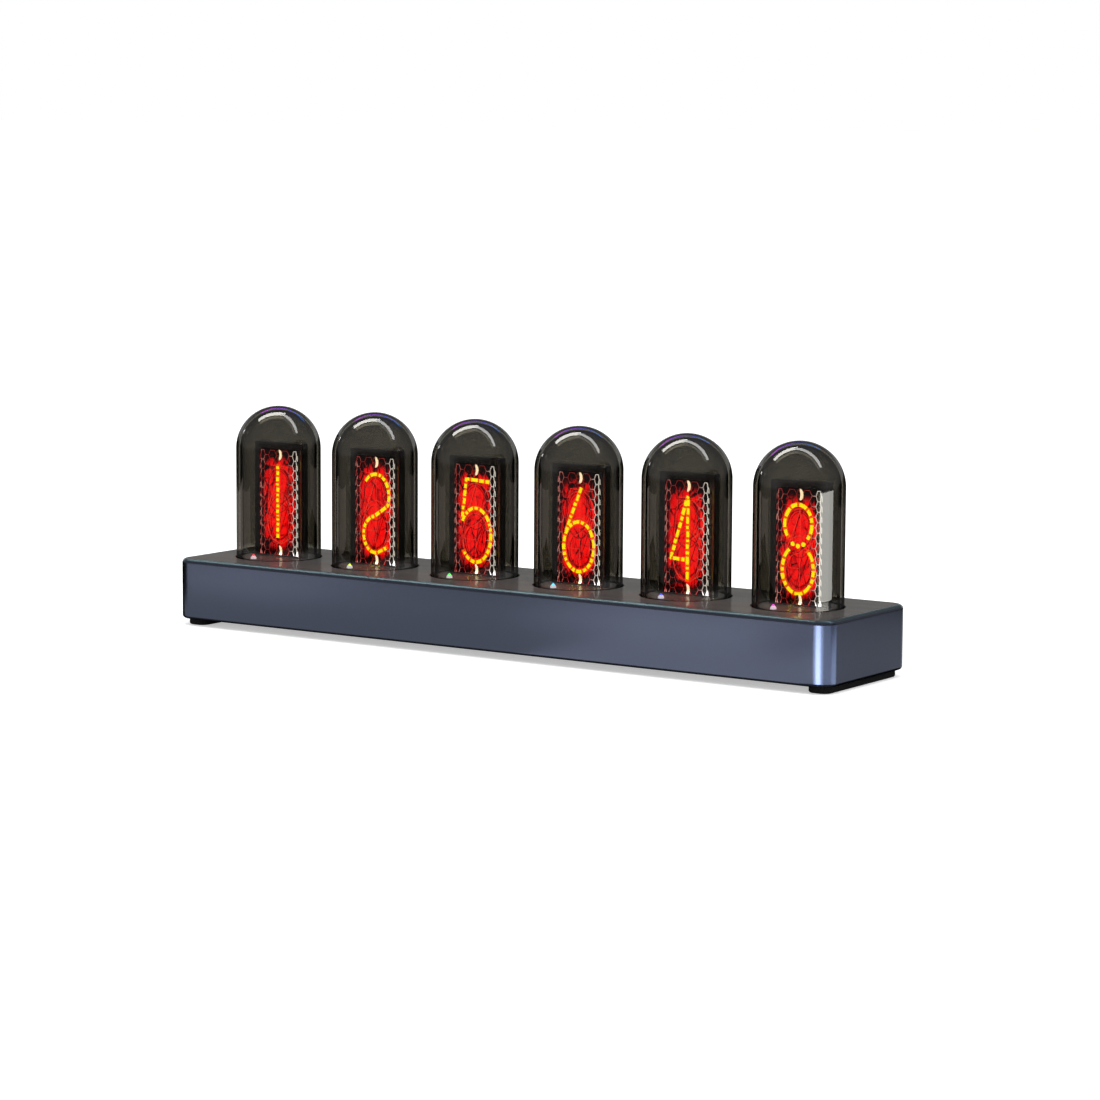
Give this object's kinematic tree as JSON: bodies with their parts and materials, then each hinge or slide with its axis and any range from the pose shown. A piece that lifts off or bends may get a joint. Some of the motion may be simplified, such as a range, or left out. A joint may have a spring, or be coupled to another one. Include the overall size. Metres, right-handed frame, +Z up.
{
  "type": "nixie style table clock",
  "caption": "Long metal table clock with a row of flat numeral displays under smoked glass bells, imitating neon numeral tubes, with push buttons and a power socket at the back.",
  "frame": {"origin": "under the middle of the base, on the surface that the feet stand on", "axes": "+X along the clock to the viewer's right, +Y to the back, +Z up; the displays face -Y"},
  "size_m": [0.266, 0.0538, 0.0775],
  "materials": {
    "anodised_aluminium": "satin",
    "smoked_acrylic": "gloss",
    "black_cover": "matte",
    "steel_screw": "satin",
    "foot_rubber": "matte",
    "circuit_board": "satin",
    "shield_can": "satin",
    "black_plastic": "matte",
    "white_plastic": "matte",
    "clear_guide": "gloss",
    "seal_rubber": "matte",
    "button_cap": "satin",
    "switch_plunger": "matte",
    "smoked_glass": "gloss",
    "black_bezel": "satin",
    "lit_screen": "gloss",
    "lit_numeral": "gloss"
  },
  "bodies": {
    "base": {"base_shell": "anodised_aluminium", "top_plate": "smoked_acrylic", "bottom_cover": "black_cover", "bottom_screws": "steel_screw", "foot_left": "foot_rubber", "foot_right": "foot_rubber", "main_board": "circuit_board", "board_screws": "steel_screw", "control_module": "shield_can", "usb_socket": "shield_can", "coin_cell_holder": "black_plastic", "coin_cell": "shield_can", "buzzer": "black_plastic", "board_chips": "black_plastic", "display_sockets": "black_plastic", "rgb_leds": "white_plastic", "light_guides": "clear_guide", "seal_rings": "seal_rubber", "switch_housings": "black_plastic", "glass_dome_1": "smoked_glass", "glass_dome_2": "smoked_glass", "glass_dome_3": "smoked_glass", "glass_dome_4": "smoked_glass", "glass_dome_5": "smoked_glass", "glass_dome_6": "smoked_glass", "display_frame_1": "black_bezel", "display_frame_2": "black_bezel", "display_frame_3": "black_bezel", "display_frame_4": "black_bezel", "display_frame_5": "black_bezel", "display_frame_6": "black_bezel", "lcd_cell_1": "lit_screen", "lcd_cell_2": "lit_screen", "lcd_cell_3": "lit_screen", "lcd_cell_4": "lit_screen", "lcd_cell_5": "lit_screen", "lcd_cell_6": "lit_screen", "display_board_1": "circuit_board", "display_board_2": "circuit_board", "display_board_3": "circuit_board", "display_board_4": "circuit_board", "display_board_5": "circuit_board", "display_board_6": "circuit_board", "numeral_1": "lit_numeral", "numeral_2": "lit_numeral", "numeral_3": "lit_numeral", "numeral_4": "lit_numeral", "numeral_5": "lit_numeral", "numeral_6": "lit_numeral"},
    "power_button": {"button_power": "button_cap", "switch_plunger_power": "switch_plunger"},
    "mode_button": {"button_mode": "button_cap", "switch_plunger_mode": "switch_plunger"},
    "left_button": {"button_left": "button_cap", "switch_plunger_left": "switch_plunger"},
    "right_button": {"button_right": "button_cap", "switch_plunger_right": "switch_plunger"}
  },
  "joints": [
    {"name": "power_press", "type": "slide", "parent": "base", "child": "power_button", "axis": [0, -1, 0], "range_m": [0, 0.0005], "stiffness_N_per_m": 900},
    {"name": "mode_press", "type": "slide", "parent": "base", "child": "mode_button", "axis": [0, -1, 0], "range_m": [0, 0.0005], "stiffness_N_per_m": 900},
    {"name": "left_press", "type": "slide", "parent": "base", "child": "left_button", "axis": [0, -1, 0], "range_m": [0, 0.0005], "stiffness_N_per_m": 900},
    {"name": "right_press", "type": "slide", "parent": "base", "child": "right_button", "axis": [0, -1, 0], "range_m": [0, 0.0005], "stiffness_N_per_m": 900}
  ]
}
